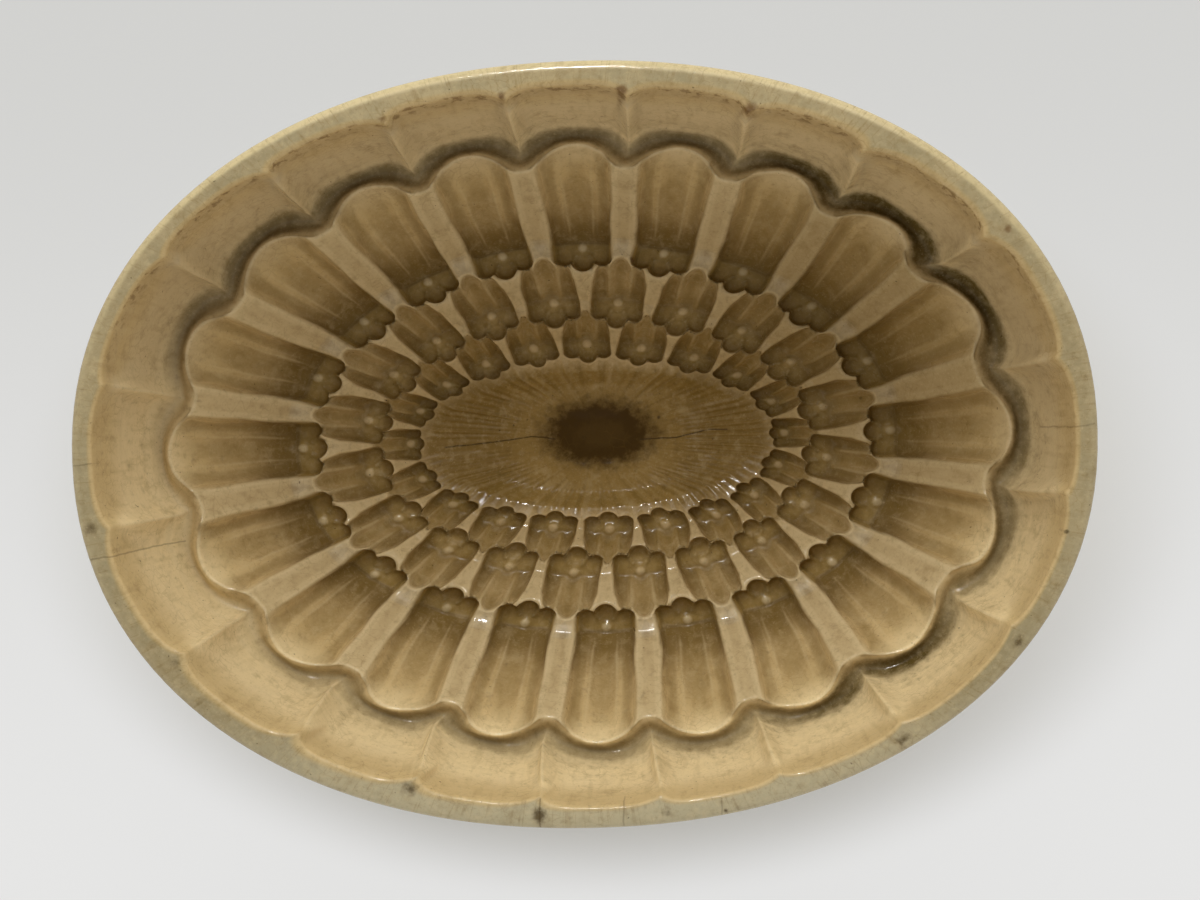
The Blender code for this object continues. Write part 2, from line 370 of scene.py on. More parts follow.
def columnHeight(row, step, offset):
    # A leaning wall over a floor with three petals. Wall and ground rise steeply at the column's sides. Each
    # petal is a shallow parabola with a steep lip, and may bulge past them.
    middle, half, across, level, run, width, share = columnPlace(row, step, offset)
    inward = offset - row["offset"]
    slope = mould["sideSlope"] * (1.0 - 0.5 * smoothStep(*mould["sideEase"], level))
    side = slope * np.maximum(np.abs(across) - width, 0.0)
    wall = columnWall(row, across, level, run, width, share) + side
    over, start, groundSlope = mould["ground"]
    ground = over - row["depth"] + groundSlope * np.maximum(inward - start * half, 0.0) + side
    deep, dish, lip, rounding = mould["petal"]
    for shape in row["petals"]:
        distance = petalDistance(shape, half, across, inward)
        petal = -row["depth"] - deep + dish * distance ** 2 + lip * np.maximum(distance - 1.0, 0.0)
        ground = smoothMin(ground, petal, rounding)
    return smoothMax(wall, ground, row["crease"]) + mould["beadHeight"] * beadShape(across, inward)


def beadShape(across, inward):
    # A round bead in the middle of each flower, exp(-(distance / radius) ** 3)
    return np.exp(-(np.hypot(across, inward) / mould["beadRadius"]) ** 3)


def webHeight(step, offset):
    # The webs, the crests and the bowl before the columns are cut. On the bowl's wall a line runs on from each
    # web, exp(-distance / width), and reeds of uneven height lie between them.
    uneven = 1.0 + 0.5 * np.sin(2.3 * step) + 0.4 * np.sin(5.9 * step + 1.0)
    reeds = uneven * np.cos(2.0 * np.pi * mould["reedsPerColumn"] * step)
    reeds = reeds * between(*mould["reedSpan"], offset)
    fromWeb = np.abs(step - np.floor(step) - 0.5) * columnRoom(step, offset)
    line = (np.exp(-fromWeb / mould["lineWidth"]) - 0.35) * between(*mould["lineSpan"], offset)
    height = -np.interp(offset, tableOffsets, tableDepths)
    return height + mould["reedHeight"] * reeds + mould["webLine"] * line


def bowlStreak(step, offset):
    # 1 on the pale lines that run on from the webs over the bowl, below 0 in the darker bays between them,
    # with finer reeds everywhere: sines of a size, turns by step and offset, and a start
    reeds = sum(size * np.sin(byStep * step + byOffset * offset + start)
                for size, byStep, byOffset, start in mould["streakReeds"])
    reeds = reeds * smoothStep(53.0, 57.0, offset) * (1.0 - 0.6 * smoothStep(64.0, 90.0, offset))
    fromWeb = 2.0 * np.abs(step - np.floor(step) - 0.5)
    return between(*mould["streakSpan"], offset) * (np.exp(-fromWeb / 0.2) - 0.3) + reeds


def insideHeight(step, offset):
    # The lowest of the web and the three rows of columns, with rounded edges
    height = webHeight(step, offset)
    roundLow, roundHigh = mould["edgeRound"]
    for row in columnRows:
        nearPetals = smoothStep(row["offset"] - mould["edgeFade"], row["offset"], offset)
        rounding = roundHigh + (roundLow - roundHigh) * nearPetals
        height = smoothMin(height, columnHeight(row, step, offset), rounding)
    return height - mould["hollowDepth"] * smoothStep(*mould["hollowSpan"], offset)


def poolMark(step, offset, radius):
    # The mean height of eight points the radius away, less the height here
    room = columnRoom(step, offset)
    around = [insideHeight(step + radius * np.cos(turn) / room, offset + radius * np.sin(turn))
              for turn in np.arange(8) * np.pi / 4.0]
    return sum(around) / 8.0 - insideHeight(step, offset)


def cellMarks(row, step, offset):
    # One row's share of five marks for the glaze. The floors' is weighed by how dark the row is. The wall
    # foot's, painted shade and pooled glaze together, fades upwards from the foot and also darkens the outer
    # part of the flowers. The flutes', partly painted shade and partly pooled glaze, lies in the middle flute
    # or in the outer two, by the row's inner value, beside the sides and between petals.
    middle, half, across, level, run, width, share = columnPlace(row, step, offset)
    inward = offset - row["offset"]
    fromBead = np.hypot(across, inward)
    inCell = smoothStep(0.0, 1.5, webHeight(step, offset) - columnHeight(row, step, offset))
    onWall = inCell * smoothStep(-1.0 / run, 0.4 / run, level)
    onFloor = inCell - onWall
    floor = (0.4 + 0.6 * row["dark"]) * onFloor
    # the wall foot's mark: painted shade and pooled glaze, darkest at the foot and fading upwards
    foot = np.maximum(row["dark"] * onWall * (1.0 - smoothStep(0.02, 0.55, level)),
                      0.62 * onFloor * smoothStep(0.3, 0.85, fromBead / half))
    inner = 1.0 - smoothStep(mould["arris"] - 0.04, mould["arris"] + 0.04, share)
    inner = inner * (1.0 - smoothStep(0.66, 0.82, level + 0.14 * (share / mould["arris"]) ** 2))
    # the flutes' mark, partly painted shade and partly pooled glaze: the middle or the outer flutes and beside
    # the sides
    tone = row["inner"] * inner + (1.0 - row["inner"]) * (1.0 - inner) + 0.4 * smoothStep(0.75, 1.0, share)
    fromPetal = np.min([petalDistance(petal, half, across, inward) for petal in row["petals"]], axis=0)
    # painted shade in the creases between the petals
    petalCreaseShade = smoothStep(0.5, 1.0, fromPetal) * smoothStep(0.8, 1.8, fromBead)
    flute = np.maximum(onWall * tone, 1.6 * onFloor * petalCreaseShade)
    return np.array([floor, foot, flute, beadShape(across, inward), inCell])


def panelCurve(step, atMiddle, atRib):
    # A panel is flat along most of its length and turns in to a pointed rib at each end
    fromMiddle = np.abs(step - np.round(step)) * 2.0
    return atMiddle + (atRib - atMiddle) * fromMiddle ** mould["panelCorner"]


def ridgeLine(step):
    # A lobe outside each column, tip + swing * share ** power, and a level valley beside each web
    row = columnRows[0]
    across = (step - np.round(step)) * columnRoom(np.round(step), 14.0)
    lobe = np.abs(across / row["tipHalf"]) ** mould["ridgePower"]
    return mould["ridgeTip"] + (mould["ridgeValley"] - mould["ridgeTip"]) * smoothMin(lobe, 1.0, 0.25)


def crestReach(row, step):
    # The outline round the three petals: the furthest of three circles, or the web's own line beside them
    middle = nearestMiddle(row, step)
    half = columnHalf(row, middle)
    across = (step - middle) * columnRoom(middle, row["offset"] + 0.5 * half) / half
    reach = np.full(across.shape, mould["webReach"])
    for petalAcross, petalInward, petalRadius in row["petals"]:
        radius = petalRadius + mould["crestMargin"]
        circle = petalInward + np.sqrt(np.maximum(radius ** 2 - (across - petalAcross) ** 2, 0.0))
        reach = np.where(np.abs(across - petalAcross) < radius, smoothMax(reach, circle, 0.05), reach)
    return row["offset"] + reach * half


def gridSteps(row, offset):
    # Where the grid's columns lie, in steps: 5 of them from a column's middle to its arris, 5 from there to
    # its side, 2 up the side and 4 from there to the middle of the web
    index = np.arange(insideSteps) - int(row["phase"] * cellSteps)
    cell = np.floor((index + cellSteps / 2) / cellSteps)
    place = index - cell * cellSteps
    middle = cell + row["phase"]
    half = columnHalf(row, middle)
    room = columnRoom(middle, offset)
    level = levelIn(row, half, offset)[0]
    width = np.clip(widthIn(row, half, level), 0.1 * room, 0.46 * room)
    inner = width - sideLean(row, level)
    corners = [0.0 * room, inner * mould["arris"], inner - 0.1, width + 0.2, 0.5 * room]
    reach = np.zeros_like(room)
    for first, last, low, high in zip((0, 5, 10, 12), (5, 10, 12, 16), corners[:-1], corners[1:]):
        reach = reach + (high - low) * np.clip((np.abs(place) - first) / (last - first), 0.0, 1.0)
    wobble = columnWobble(middle, offset) * (1.0 - smoothStep(12.0, 16.0, np.abs(place)))
    return middle + (np.sign(place) * reach + wobble) / room


insideRings = []  # step, offset, height and channel mark of each ring of the inside


def addRing(steps, offsets, heights, channel=0.0):
    insideRings.append((steps, offsets + 0.0 * steps, heights + 0.0 * steps, channel + 0.0 * steps))


def addCollar():
    # The flat band, its rounded edge, the panelled wall, the channel below it and the ridge's outer side. The
    # grid's columns crowd at the ribs, which bulge by a Gaussian across them times a half sine down the wall.
    steps = evenSteps + 0.5 * np.sin(2.0 * np.pi * evenSteps) / (2.0 * np.pi)
    fromRib = 1.0 - 2.0 * np.abs(steps - np.round(steps))
    rimLine = panelCurve(steps, *mould["rimLine"])
    footLine = panelCurve(steps, *mould["panelFoot"])
    rib = mould["ribBulge"] * np.exp(-(fromRib / mould["ribWidth"]) ** 2)
    ridge = ridgeLine(steps)
    rounding = mould["rimRound"]
    addRing(evenSteps, 3.0, 0.0)
    addRing(steps, rimLine - rounding - 0.5, 0.0)
    for turn in np.linspace(0.0, np.pi / 2.0, 5):
        addRing(steps, rimLine - rounding * (1.0 - np.sin(turn)), rounding * (np.cos(turn) - 1.0))
    for share in np.linspace(0.0, 1.0, 11)[1:]:
        reach = 0.6 * share + 0.4 * share ** 3
        # the lower part of the panel wall takes some of the channel's painted shade
        dark = 0.35 * smoothStep(0.6, 1.0, share)
        addRing(steps, rimLine + (footLine - rimLine) * reach + rib * np.sin(np.pi * share),
                -rounding - (mould["panelFootDepth"] - rounding) * share, dark)
    # the channel's painted shade is lighter at the ribs
    deep = 1.0 - 0.3 * (1.0 - fromRib) ** 4
    for bankDepth, rings in ((mould["panelFootDepth"], mould["channelFall"]),
                             (mould["ridgeDepth"], mould["channelRise"])):
        for reach, share, dark in rings:
            addRing(steps, footLine + (ridge - footLine) * reach,
                    -bankDepth - (mould["channelDepth"] - bankDepth) * share, dark * deep)


def tipLine(row, step):
    # The arched outline of a row's tips, level across the webs
    middle = nearestMiddle(row, step)
    half = columnHalf(row, middle)
    across = (step - middle) * columnRoom(middle, row["tip"] + 0.6 * row["lag"])
    share = np.clip(np.abs(across) / (widthIn(row, half, 0.8) - sideLean(row, 0.8)), 0.0, 1.0)
    return row["tip"] + tipLag(row, share)


def gridRing(row, low, high, share, nextRow=None, blend=0.0):
    # A ring this share of the way from one curve of offsets to another. Its columns are moved until they fit
    # the offsets, and blended to the next row's.
    offsets = row["offset"] + np.zeros(insideSteps)
    for turn in range(3):
        steps = gridSteps(row, offsets)
        if nextRow is not None:
            steps = steps + (gridSteps(nextRow, offsets) - steps) * blend
        offsets = low(steps) + (high(steps) - low(steps)) * share + 0.0 * steps
    addRing(steps, offsets, insideHeight(steps, offsets))


def addRows():
    # The rings follow the ridge, then for each row its foot, its flowers' crests and the next row's tips
    start = ridgeLine
    for row, nextRow in zip(columnRows, (*columnRows[1:], None)):
        foot = lambda steps: row["offset"] - mould["footReach"] * row["half"]
        floorEnd = lambda steps: row["offset"] + 0.14 * row["half"]
        crest = lambda steps: crestReach(row, steps)
        onWall, onFloor, onPetals = (np.linspace(0.0, 1.0, count, endpoint=False) for count in row["rings"])
        for share in onWall:
            gridRing(row, start, foot, share - 0.08 * np.sin(2.0 * np.pi * share))
        for share in onFloor:
            gridRing(row, foot, floorEnd, share)
        for share in onPetals:
            gridRing(row, floorEnd, crest, 1.0 - (1.0 - share) ** 1.4, nextRow, 0.7 * share)
        if nextRow is not None:
            nextTips = lambda steps: tipLine(nextRow, steps) - 0.1
            for share in (0.0, 0.35, 0.7, 0.9):
                gridRing(row, crest, nextTips, share, nextRow, 0.7 + 0.3 * share)
            start = lambda steps, following=nextRow: tipLine(following, steps) + 0.1


def addBowl():
    # From the crests of the last row to the bowl's edge, then evenly to the middle
    lastRow = columnRows[-1]
    start = gridSteps(lastRow, lastRow["offset"])
    for share in np.linspace(0.0, 1.0, 9, endpoint=False):
        steps = start + (evenSteps - start) * share
        crest = crestReach(lastRow, steps)
        offsets = crest + (63.0 - crest) * share
        addRing(steps, offsets, insideHeight(steps, offsets))
    for offset in (*np.linspace(63.0, 80.0, 8, endpoint=False), *np.linspace(80.0, 99.0, 8)):
        offsets = offset + 0.0 * evenSteps
        addRing(evenSteps, offsets, insideHeight(evenSteps, offsets))


# The outside, which the photograph doesn't show: offset and depth pairs from the lip down to the foot
outside = {
    "profile": ((2.6, 0.0), (1.7, 0.10), (0.75, 0.60), (0.2, 1.50), (0.0, 2.6), (0.0, 10.2), (0.5, 12.0),
                (1.6, 13.2), (3.0, 27.0), (6.6, 34.5), (20.0, 59.0), (26.2, 70.0), (29.8, 82.4), (30.6, 84.0)),
    "marks": ((0.0, 0.045, 7), (0.045, 0.17, 7), (0.17, 1.0, 15)),  # rings along it: from, to and how many
    "footWidth": 6.0,
    "recessHeight": 3.0,
}


def outsideProfile():
    # The profile's points joined by a curve that rounds its corners, then the foot ring and its recess
    points = np.array(outside["profile"])
    length = np.concatenate([[0.0], np.cumsum(np.hypot(*np.diff(points, axis=0).T))])
    fine = np.linspace(0.0, length[-1], 1200)
    rings = [np.linspace(first, last, count, endpoint=False) for first, last, count in outside["marks"]]
    picked = length[-1] * np.append(np.concatenate(rings), 1.0)
    kernel = np.hanning(21)[1:-1]
    curves = [np.interp(fine, length, values) for values in points.T]
    curves = [smoothed(curve, kernel, mode="reflect", reflect_type="odd") for curve in curves]
    offset, depth = [np.interp(picked, fine, curve) for curve in curves]
    foot = points[-1, 0]
    inner = foot + outside["footWidth"]
    roof = rimTop - outside["recessHeight"]
    offset = np.concatenate([offset, [foot + 0.8, inner - 0.6, inner + 0.1, inner + 1.2, inner + 3.0],
                             np.linspace(inner + 12.0, 98.0, 6)])
    depth = np.concatenate([depth, [rimTop, rimTop, rimTop - 0.6, roof + 0.4, roof], np.full(6, roof)])
    return offset, np.minimum(depth, rimTop)


def surfaceMarks(steps, offsets, heights, channel):
    # What the glaze reads from the surface: where it pools and thins, where painted shade darkens the walls'
    # feet, the flutes and the channel, where a painted highlight runs along the panels' feet, what each place
    # belongs to and how far in it lies. Most marks begin at the ridge, where they fade in over about a
    # millimetre.
    pastRidge = offsets - ridgeLine(steps)
    within = smoothStep(-0.2, 1.2, pastRidge)
    valley = (ridgeLine(steps) - mould["ridgeTip"]) / (mould["ridgeValley"] - mould["ridgeTip"])
    edgePool, widePool = [poolMark(steps, offsets, radius) * within for radius in mould["poolRadii"]]
    floor, foot, flute, bead, inCell = np.max([cellMarks(row, steps, offsets) for row in columnRows], axis=0)
    return {
        "edgePool": edgePool - 0.25 * np.exp(-(pastRidge / 0.8) ** 2),
        "widePool": widePool,
        "flowerFloor": floor * within,
        "wallFoot": foot * within,
        "flute": flute * within,
        "bead": bead,
        "inCell": inCell * within,
        "bank": smoothStep(0.45, 0.9, valley) * np.exp(-((pastRidge + 0.3) / 1.2) ** 2),
        "streak": bowlStreak(steps, offsets),
        "channel": channel,
        # a painted highlight along the panels' foot edge
        "panelFootHighlight": np.exp(-((heights + mould["panelFootDepth"]) / 0.6) ** 2),
        "inward": offsets,
        "pastBand": offsets - panelCurve(steps, *mould["rimLine"]),
        "ribShare": 2.0 * np.abs(steps - np.round(steps)),
    }


def ringFaces(start, rings, left, right):
    # Four-sided faces between rings that follow one another from the start, and triangles in the last ring
    # round the point that comes after it
    count = len(left)
    corners = np.stack([left, right, count + right, count + left], axis=1)
    quads = np.concatenate([start + ring * count + corners for ring in range(rings - 1)])
    last = start + (rings - 1) * count
    return quads, np.stack([last + left, last + right, np.full(count, last + count)], axis=1)


def buildMould():
    # Rings of points joined by four-sided faces. The inside has four times as many points a ring as the
    # outside, and a fan of triangles on the flat band joins the two. The glaze's waves are sums of sines.
    addCollar()
    addRows()
    addBowl()
    steps, offsets, heights, channel = (np.array(part) for part in zip(*insideRings))
    x, y = handmadePoint(steps, offsets)
    waves = sum(size * np.sin(byX * x + byY * y + start) for size, byX, byY, start in mould["waves"])
    ripples = np.sin(0.9 * x + 0.5 * y + 2.0 * np.sin(0.13 * y))
    ripples = ripples * np.sin(1.1 * y - 0.4 * x + 2.0 * np.sin(0.11 * x))
    z = rimTop + heights + (waves + mould["ripple"] * ripples) * smoothStep(8.0, 20.0, offsets)
    outOffset, outDepth = outsideProfile()
    outX, outY = ovalPoint(evenSteps[::4], outOffset[:, None])
    outZ = rimTop - outDepth[:, None] + 0.0 * outX
    insidePoints = np.stack([x, y, z], axis=-1).reshape(-1, 3)
    outsidePoints = np.stack([outX, outY, outZ], axis=-1).reshape(-1, 3)
    bowlMiddle = [[0.0, 0.0, z[-1].mean()]]
    roofMiddle = [[0.0, 0.0, outZ[-1, 0]]]
    points = np.concatenate([insidePoints, bowlMiddle, outsidePoints, roofMiddle])

    index = np.arange(insideSteps)
    insideQuads, insideFan = ringFaces(0, len(steps), index, (index + 1) % insideSteps)
    outBase = len(insidePoints) + 1
    index = np.arange(outsideSteps)
    after = (index + 1) % outsideSteps
    outsideQuads, outsideFan = ringFaces(outBase, len(outOffset), after, index)
    quads = np.concatenate([insideQuads, outsideQuads])
    triangles = [insideFan, outsideFan]
    for part in range(4):
        near = 4 * index + part
        triangles.append(np.stack([outBase + index, (near + 1) % insideSteps, near], axis=1))
    triangles.append(np.stack([outBase + index, outBase + after, (4 * index + 4) % insideSteps], axis=1))
    triangles = np.concatenate(triangles)

    mesh = bpy.data.meshes.new("mouldBody")
    corners = np.concatenate([quads.ravel(), triangles.ravel()])
    starts = np.concatenate([np.arange(len(quads)) * 4, len(quads) * 4 + np.arange(len(triangles)) * 3])
    mesh.vertices.add(len(points))
    mesh.vertices.foreach_set("co", (points * milli).ravel())
    mesh.loops.add(len(corners))
    mesh.loops.foreach_set("vertex_index", corners)
    mesh.polygons.add(len(starts))
    mesh.polygons.foreach_set("loop_start", starts)
    mesh.update(calc_edges=True)
    mesh.validate()
    mesh.shade_smooth()
    marks = surfaceMarks(steps, offsets, heights, channel)
    outInward = np.repeat(outOffset - outDepth, outsideSteps)
    beyond = {"inward": outInward, "pastBand": outInward - mould["rimLine"][0]}
    for name, values in marks.items():
        rest = beyond.get(name, 0.0 * outInward)
        padded = np.concatenate([values.ravel(), [values[-1].mean()], rest, rest[-1:]])
        layer = mesh.attributes.new(name, "FLOAT", "POINT")
        layer.data.foreach_set("value", padded.astype(np.float32))
    print("mould body:", len(points), "points,", len(quads) * 2 + len(triangles), "triangles")
    return addObject("mould_surface", mesh), tuple(marks)


class Wire:
    # A shader socket that takes part in sums: every operator makes a Math node
    def __init__(self, sheet, socket):
        self.sheet = sheet
        self.socket = socket

    def __add__(self, other):
        return self.sheet.maths("ADD", self, other)

    def __sub__(self, other):
        return self.sheet.maths("SUBTRACT", self, other)

    def __rsub__(self, other):
        return self.sheet.maths("SUBTRACT", other, self)

    def __mul__(self, other):
        return self.sheet.maths("MULTIPLY", self, other)

    def __truediv__(self, other):
        return self.sheet.maths("DIVIDE", self, other)

    def __pow__(self, other):
        return self.sheet.maths("POWER", self, other)

    __radd__ = __add__
    __rmul__ = __mul__


class Sheet:
    # The nodes of a material or of the world
    def __init__(self, owner):
        owner.use_nodes = True
        self.tree = owner.node_tree

    def link(self, wire, kind, socket):
        self.tree.links.new(wire.socket, self.tree.nodes[kind].inputs[socket])

    def node(self, kind, settings, values, output=0):
        made = self.tree.nodes.new(kind)
        for key, value in settings.items():
            setattr(made, key, value)
        for key, value in values.items():
            if isinstance(value, Wire):
                self.tree.links.new(value.socket, made.inputs[key])
            else:
                made.inputs[key].default_value = value
        return Wire(self, made.outputs[output])

    def maths(self, operation, *values):
        return self.node("ShaderNodeMath", {"operation": operation}, dict(enumerate(values)))

    def vectors(self, operation, *values, output=0):
        return self.node("ShaderNodeVectorMath", {"operation": operation}, dict(enumerate(values)), output)

    def smooth(self, value, low, high):
        return self.node("ShaderNodeMapRange", {"interpolation_type": "SMOOTHSTEP"},
                         {"Value": value, "From Min": low, "From Max": high})

    def span(self, value, places):
        # 0 to 1 between two places, or a band that rises between the first two and falls between the last
        rise = self.smooth(value, *places[:2])
        return rise if len(places) == 2 else rise * self.smooth(value, *places[:1:-1])

    def blend(self, factor, first, second):
        first, second = [tone if isinstance(tone, Wire) else (*tone, 1.0) for tone in (first, second)]
        return self.node("ShaderNodeMix", {"data_type": "RGBA"}, {0: factor, 6: first, 7: second}, 2)

    def parts(self, vector):
        return [self.node("ShaderNodeSeparateXYZ", {}, {0: vector}, number) for number in range(3)]

    def edges(self, place, scale):
        edge = {"feature": "DISTANCE_TO_EDGE"}
        return self.node("ShaderNodeTexVoronoi", edge, {"Vector": place, "Scale": scale})


# Marks of age: hairline cracks as strength and line of points, and stains as place, radius and strength
ageing = {
    "cracks": (
        (0.9, ((-9.8, 0.5), (-11.8, 1.0), (-15.6, 1.2), (-25.1, 0.2), (-36.0, -0.6))),
        (0.9, ((10.9, -0.2), (19.6, -0.1), (27.8, 1.6), (31.8, 1.5))),
        (0.4, ((-101.0, -19.5), (-93.4, -18.3), (-86.6, -17.9))),
        (0.35, ((93.9, 0.9), (99.2, 1.7))),
        (0.35, ((-99.6, -0.2), (-95.2, 0.1))),
        (0.5, ((-9.0, -68.0), (-9.2, -74.6))),
        (0.35, ((7.4, -69.3), (7.2, -73.6))),
        (0.35, ((26.4, -68.5), (26.3, -72.0))),
    ),
    "crackPlaces": (0.26, 0.06),  # where a crack begins and where it is darkest, from its line
    "stains": (
        ((-9.1, -71.3), 2.2, 0.95), ((16.0, -71.2), 1.6, 0.45), ((-34.2, -65.3), 2.2, 0.55),
        ((-80.2, -39.2), 1.8, 0.55), ((-95.7, -12.5), 2.2, 0.55), ((83.8, -39.4), 1.8, 0.6),
        ((61.6, -57.7), 2.0, 0.6), ((27.0, -71.0), 0.7, 0.7), ((11.4, 68.3), 1.6, 0.9),
        ((-11.6, 68.3), 1.3, 0.8), ((35.9, 64.0), 1.8, 0.9), ((-34.8, 64.9), 1.0, 0.7),
        ((84.0, 39.0), 1.2, 0.85), ((93.3, -18.6), 0.7, 0.9), ((-82.1, 12.1), 0.8, 0.5),
        ((58.1, 18.7), 1.0, 0.5), ((8.6, -43.6), 0.45, 0.95), ((-19.6, 4.2), 0.32, 0.9),
        ((-23.1, 2.9), 0.35, 0.7), ((15.6, 5.0), 0.7, 0.75), ((28.4, -0.7), 0.35, 0.8),
        ((-9.9, 11.1), 0.3, 0.7), ((62.3, 7.9), 0.5, 0.8), ((10.8, 41.4), 0.9, 0.7),
    ),
    "stainFray": 1.2,
    "brownSide": (10.0, 40.0),  # stains turn from dark to reddish brown between these places along y
}

# Linear colours. Some stand for light and shade, as the coats below say: the tan and cream deeper in and the
# grey under the band are painted shade, the foot and channel browns painted shade with pooled glaze, the
# upper wall and partly the lip painted light, and the pads' grey a painted reflection.
tones = {
    "tan": (0.43, 0.30, 0.13),
    "paleTan": (0.53, 0.38, 0.18),
    "wallTop": (0.68, 0.50, 0.235),
    "webCream": (0.54, 0.41, 0.22),
    "padGrey": (0.47, 0.385, 0.255),
    "deepTan": (0.29, 0.178, 0.042),
    "edgeCream": (0.66, 0.52, 0.29),
    "depthShadeCream": (0.57, 0.41, 0.20),
    "pooled": (0.185, 0.11, 0.022),
    "flowerBrown": (0.47, 0.31, 0.085),
    "footBrown": (0.15, 0.088, 0.022),
    "collar": (0.67, 0.52, 0.29),
    "collarShade": (0.36, 0.255, 0.125),
    "collarGrey": (0.40, 0.33, 0.23),
    "collarPale": (0.93, 0.74, 0.41),
    "lip": (0.72, 0.59, 0.32),
    "channelBrown": (0.105, 0.07, 0.02),
    "centreBrown": (0.058, 0.028, 0.0005),
    "rim": (0.44, 0.35, 0.19),
    "rimGreen": (0.36, 0.3, 0.17),
    "rimOchre": (0.50, 0.345, 0.14),
    "rimShade": (0.24, 0.19, 0.10),
    "rimPale": (0.50, 0.44, 0.29),
    "outside": (0.62, 0.56, 0.40),
    "stainBrown": (0.06, 0.036, 0.012),
    "fleckBrown": (0.155, 0.08, 0.03),
    "crackBrown": (0.055, 0.03, 0.008),
}

# The coats in their order: a tone, how strongly it covers, and its masks. A mask is the name of a mark and the
# two places between which it goes from 0 to 1, or four for a band, or none where the mark is used as it is.
coats = {
    "wall": (
        ("paleTan", 1.0, {"patches": (0.6, 0.95)}),
        # painted shade: a darker, browner tan deeper in the mould
        ("deepTan", 0.8, {"deep": ()}),
        # painted light: the upper walls of the columns, near the ridge, lighter where the mould shades them
        # less
        ("wallTop", 0.5, {"inward": (27.0, 13.0), "inCell": ()}),
        ("webCream", 0.8, {"web": ()}),
        # painted reflection: the flat pads at the ends of the webs greyed as if they mirrored the sky
        ("padGrey", 0.55, {"inward": (28.9, 29.5, 33.5, 36.0), "web": ()}),
        ("webCream", 0.34, {"streakFrayed": (0.15, 1.1)}),
        ("pooled", 0.38, {"streakFrayed": (-0.05, -0.7)}),
        # painted shade with pooled glaze: the feet of the column walls and the flowers' outer parts darkened
        ("footBrown", 0.75, {"wallFootFrayed": (0.05, 0.95)}),
        ("pooled", 0.4, {"widePoolFrayed": (0.1, 1.3)}),
        ("flowerBrown", 0.75, {"flowerFloorFrayed": (0.1, 1.1)}),
        # partly painted shade, partly pooled glaze: the flutes' mark darkened
        ("pooled", 0.26, {"fluteFrayed": (0.0, 1.0)}),
        ("pooled", 0.3, {"edgePool": (0.06, 0.5)}),
        ("cream", 1.0, {"edgePool": (-0.08, -0.55), "edgeShare": ()}),
        ("cream", 1.0, {"widePool": (-0.2, -1.0), "crestShare": ()}),
        ("cream", 0.9, {"bead": (0.3, 0.9)}),
    ),
    "collar": (
        ("collarPale", 1.0, {"yFrayed": (35.0, -45.0)}),
        ("collarPale", 0.5, {"towardsRib": (0.84, 1.04)}),
        ("edgeCream", 0.4, {"x": (-10.0, -70.0), "y": (-5.0, -40.0)}),
        ("collarShade", 0.3, {"x": (0.0, -60.0), "y": (0.0, 35.0)}),
        ("collarShade", 0.35, {"x": (68.0, 88.0), "y": (-30.0, -5.0)}),
        ("collarShade", 0.14, {"layers": (0.42, 0.75)}),
        # painted shade: a greyer strip just under the band, strongest towards +y, where the band shades the
        # wall
        ("collarGrey", 0.45, {"z": (77.0, 79.5, 82.2, 83.2), "y": (-20.0, 40.0)}),
    ),
    "channel": (
        ("collarColour", 0.85, {"inward": (16.5, 11.0)}),
        # painted highlight: a pale line along the panels' foot edge towards -y, where they face the lamps
        ("edgeCream", 0.7, {"panelFootHighlight": (), "y": (25.0, -15.0)}),
        # painted shade, partly pooled glaze: the deep channel below the panels, darker towards +y, where the
        # wall shades it
        ("channelBrown", 1.0, {"channelFrayed": (0.1, 1.1), "stained": (), "offBank": ()}),
        ("edgeCream", 0.55, {"bank": ()}),
    ),
    "bowl": (
        ("pooled", 0.6, {"sidesFrayed": (150.0, 600.0), "inward": (52.0, 58.0), "unburnt": ()}),
        ("centreBrown", 1.0, {"burnt": (), "worn": ()}),
    ),
    "band": (
        ("rim", 1.0, {"rimPatches": (0.55, 1.0)}),
        ("rimShade", 1.0, {"rimDark": ()}),
        ("rimPale", 0.6, {"y": (-45.0, -70.0)}),
    ),
    "edge": (
        ("bandColour", 1.0, {"onBand": ()}),
        ("rimOchre", 0.6, {"pastBand": (-1.4, -0.5, 0.2, 1.2)}),
        ("outside", 1.0, {"inward": (-0.6, -3.0)}),
        # painted light: the outer lip paler, a little all round and much more towards +y, where it faces the
        # lamps
        ("lip", 1.0, {"inward": (-4.0, -1.5, 1.2, 2.4), "lipShare": ()}),
    ),
    "age": (
        ("pooled", 0.18, {"craze": ()}),
        ("pooled", 0.3, {"hairs": (), "fine": (0.35, 0.7)}),
        ("stainTone", 0.85, {"spots": (0.05, 0.7), "topFace": ()}),
        ("fleckBrown", 0.6, {"pastBand": (-0.3, -0.05, 0.1, 0.4), "fine": (0.5, 0.62), "farSide": ()}),
        ("crackBrown", 1.0, {"cracks": (), "fine": (0.2, 0.45), "topFace": ()}),
        ("pooled", 0.24, {"mottle": (0.52, 0.72), "clear": ()}),
        ("edgeCream", 0.2, {"mottle": (0.48, 0.3), "clear": ()}),
        ("pooled", 1.0, {"drips": (0.5, 0.72), "dripDark": (), "clear": ()}),
        ("edgeCream", 1.0, {"drips": (0.5, 0.3), "dripPale": (), "clear": ()}),
        ("pooled", 0.4, {"dusk": (55.0, 20.0), "duskShare": (), "clear": ()}),
        ("pooled", 0.26, {"grain": (0.54, 0.75), "clear": ()}),
        ("edgeCream", 0.22, {"grain": (0.46, 0.26), "clear": ()}),
        ("stainBrown", 0.6, {"specks": (0.76, 0.82)}),
    ),
}

